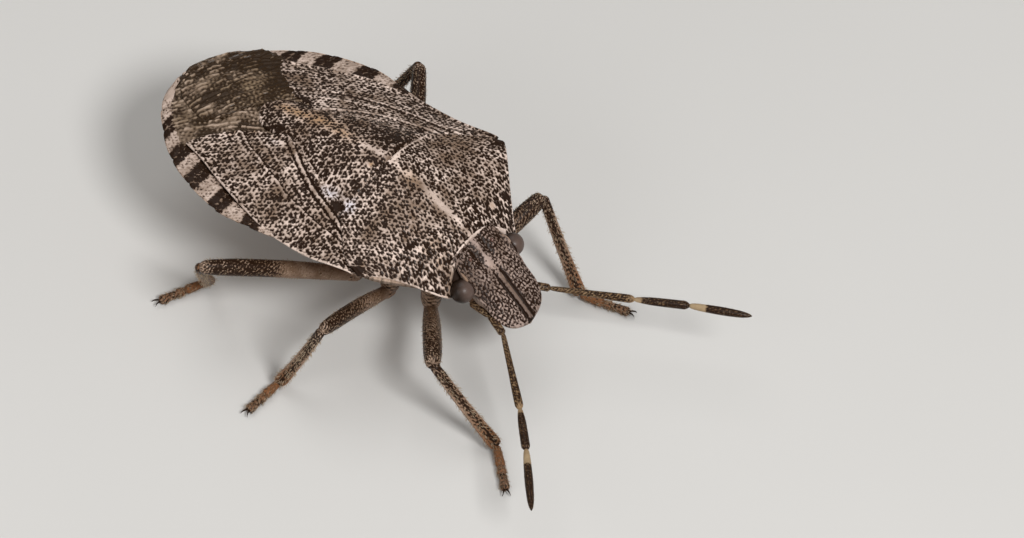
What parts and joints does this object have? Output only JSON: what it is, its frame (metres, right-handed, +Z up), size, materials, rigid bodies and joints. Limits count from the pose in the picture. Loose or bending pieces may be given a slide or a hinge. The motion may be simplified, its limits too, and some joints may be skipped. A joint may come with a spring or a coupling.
{
  "type": "shield bug",
  "caption": "Still life-size model of a mottled brown shield bug standing on its legs, with broad shoulders, a banded abdomen rim and long feelers.",
  "frame": {"origin": "on the floor that the feet stand on, under the middle of the model's box", "axes": "+Z up, -Y towards the head, +X towards the bug's left side"},
  "size_m": [0.0132, 0.019, 0.0059],
  "materials": {
    "shell": "matte to satin cuticle, pinkish beige under dense dark punctures",
    "wing_membrane": "satin translucent brown membrane with pale streaked veins",
    "abdomen": "pale beige underside, rim banded black and cream with punctures",
    "underside": "pale ochre cuticle with fine dark punctures",
    "head": "matte greyish cuticle under dense dark punctures",
    "eye": "glossy dark brown with fine facets",
    "rostrum": "satin pale brown, dark at the tip",
    "antenna": "satin dark brown with pale rings at the outer joints",
    "coxa": "satin pale ochre cuticle",
    "leg": "satin brown cuticle, speckled dark, with fine hairs",
    "foot": "satin reddish brown cuticle with fine hairs"
  },
  "bodies": {
    "root": {"abdomen": "abdomen", "antenna_left_1": "antenna", "antenna_left_2": "antenna", "antenna_left_3": "antenna", "antenna_left_4": "antenna", "antenna_left_5": "antenna", "antenna_right_1": "antenna", "antenna_right_2": "antenna", "antenna_right_3": "antenna", "antenna_right_4": "antenna", "antenna_right_5": "antenna", "coxa_fore_left": "coxa", "coxa_fore_right": "coxa", "coxa_hind_left": "coxa", "coxa_hind_right": "coxa", "coxa_mid_left": "coxa", "coxa_mid_right": "coxa", "eye_left": "eye", "eye_right": "eye", "femur_fore_left": "leg", "femur_fore_right": "leg", "femur_hind_left": "leg", "femur_hind_right": "leg", "femur_mid_left": "leg", "femur_mid_right": "leg", "forewing_left": "shell", "forewing_right": "shell", "head": "head", "membrane_left": "wing_membrane", "membrane_right": "wing_membrane", "pronotum": "shell", "rostrum": "rostrum", "scutellum": "shell", "tarsus_fore_left": "foot", "tarsus_fore_right": "foot", "tarsus_hind_left": "foot", "tarsus_hind_right": "foot", "tarsus_mid_left": "foot", "tarsus_mid_right": "foot", "thorax": "underside", "tibia_fore_left": "leg", "tibia_fore_right": "leg", "tibia_hind_left": "leg", "tibia_hind_right": "leg", "tibia_mid_left": "leg", "tibia_mid_right": "leg"}
  },
  "joints": []
}
